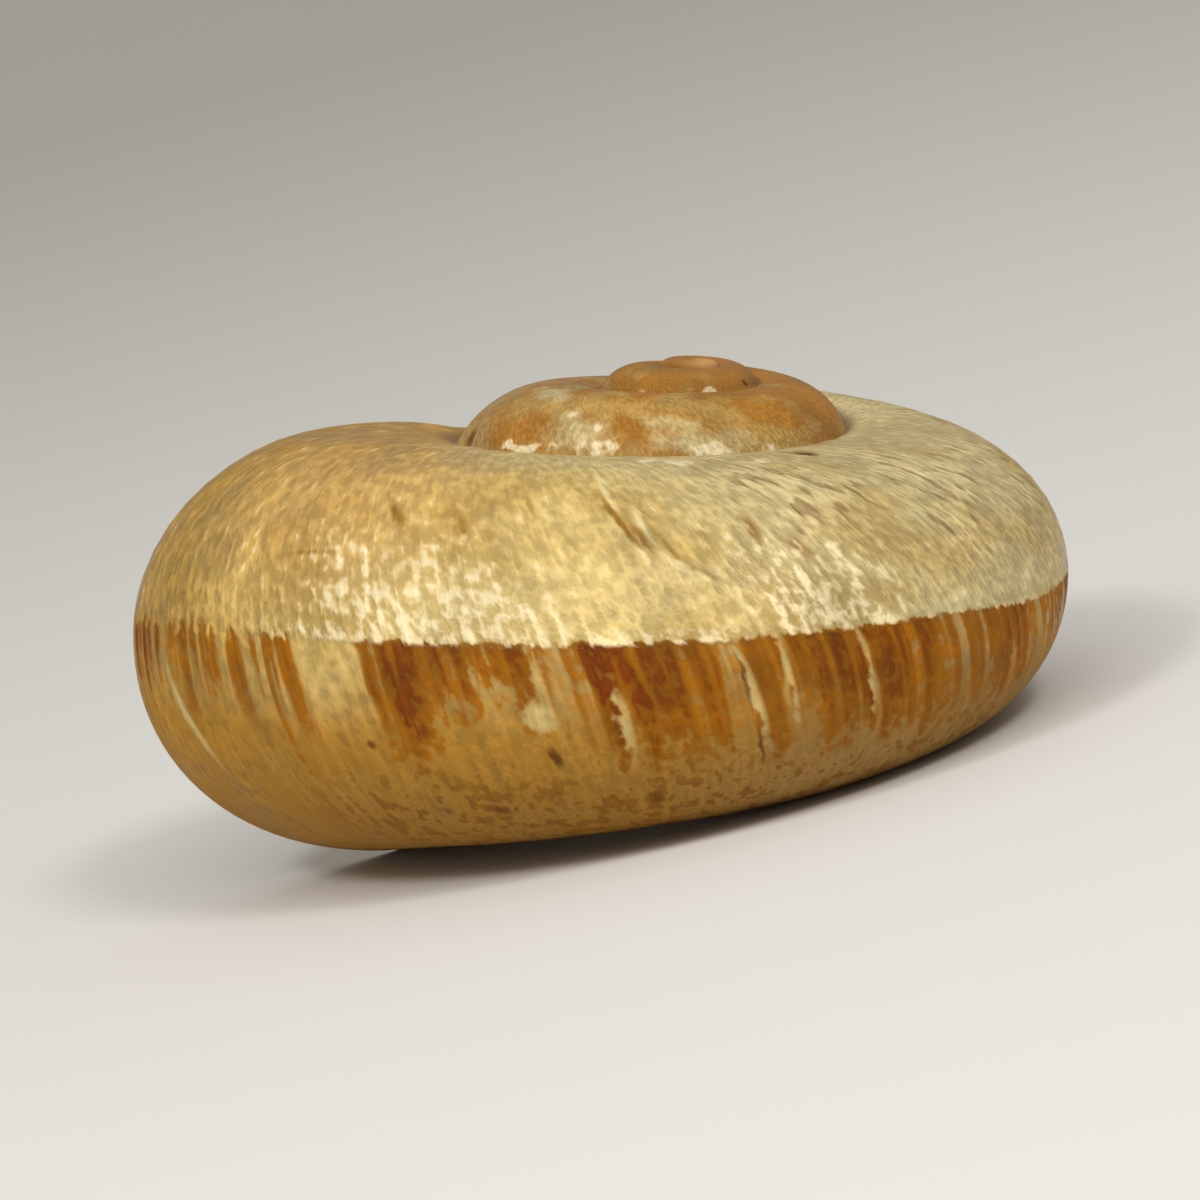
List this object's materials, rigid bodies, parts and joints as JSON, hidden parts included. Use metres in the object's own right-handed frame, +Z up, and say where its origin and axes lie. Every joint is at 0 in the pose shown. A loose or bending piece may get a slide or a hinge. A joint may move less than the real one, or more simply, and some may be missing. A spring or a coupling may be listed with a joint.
{
  "type": "land snail shell",
  "caption": "Low coiled land snail shell with a rounded last whorl, small spire, round mouth and open umbilicus, resting on its base.",
  "frame": {"origin": "on the surface that the shell rests on, under the middle of its bounding box", "axes": "+Z up in the rest pose, +X along the shell's greatest width, away from the mouth's outer lip; the mouth opens towards +Y and the coiling axis leans 16.4 degrees from +Z towards +X"},
  "size_m": [0.0278, 0.023, 0.0128],
  "materials": {
    "shell": "satin"
  },
  "bodies": {
    "root": {"shell": "shell"}
  },
  "joints": []
}
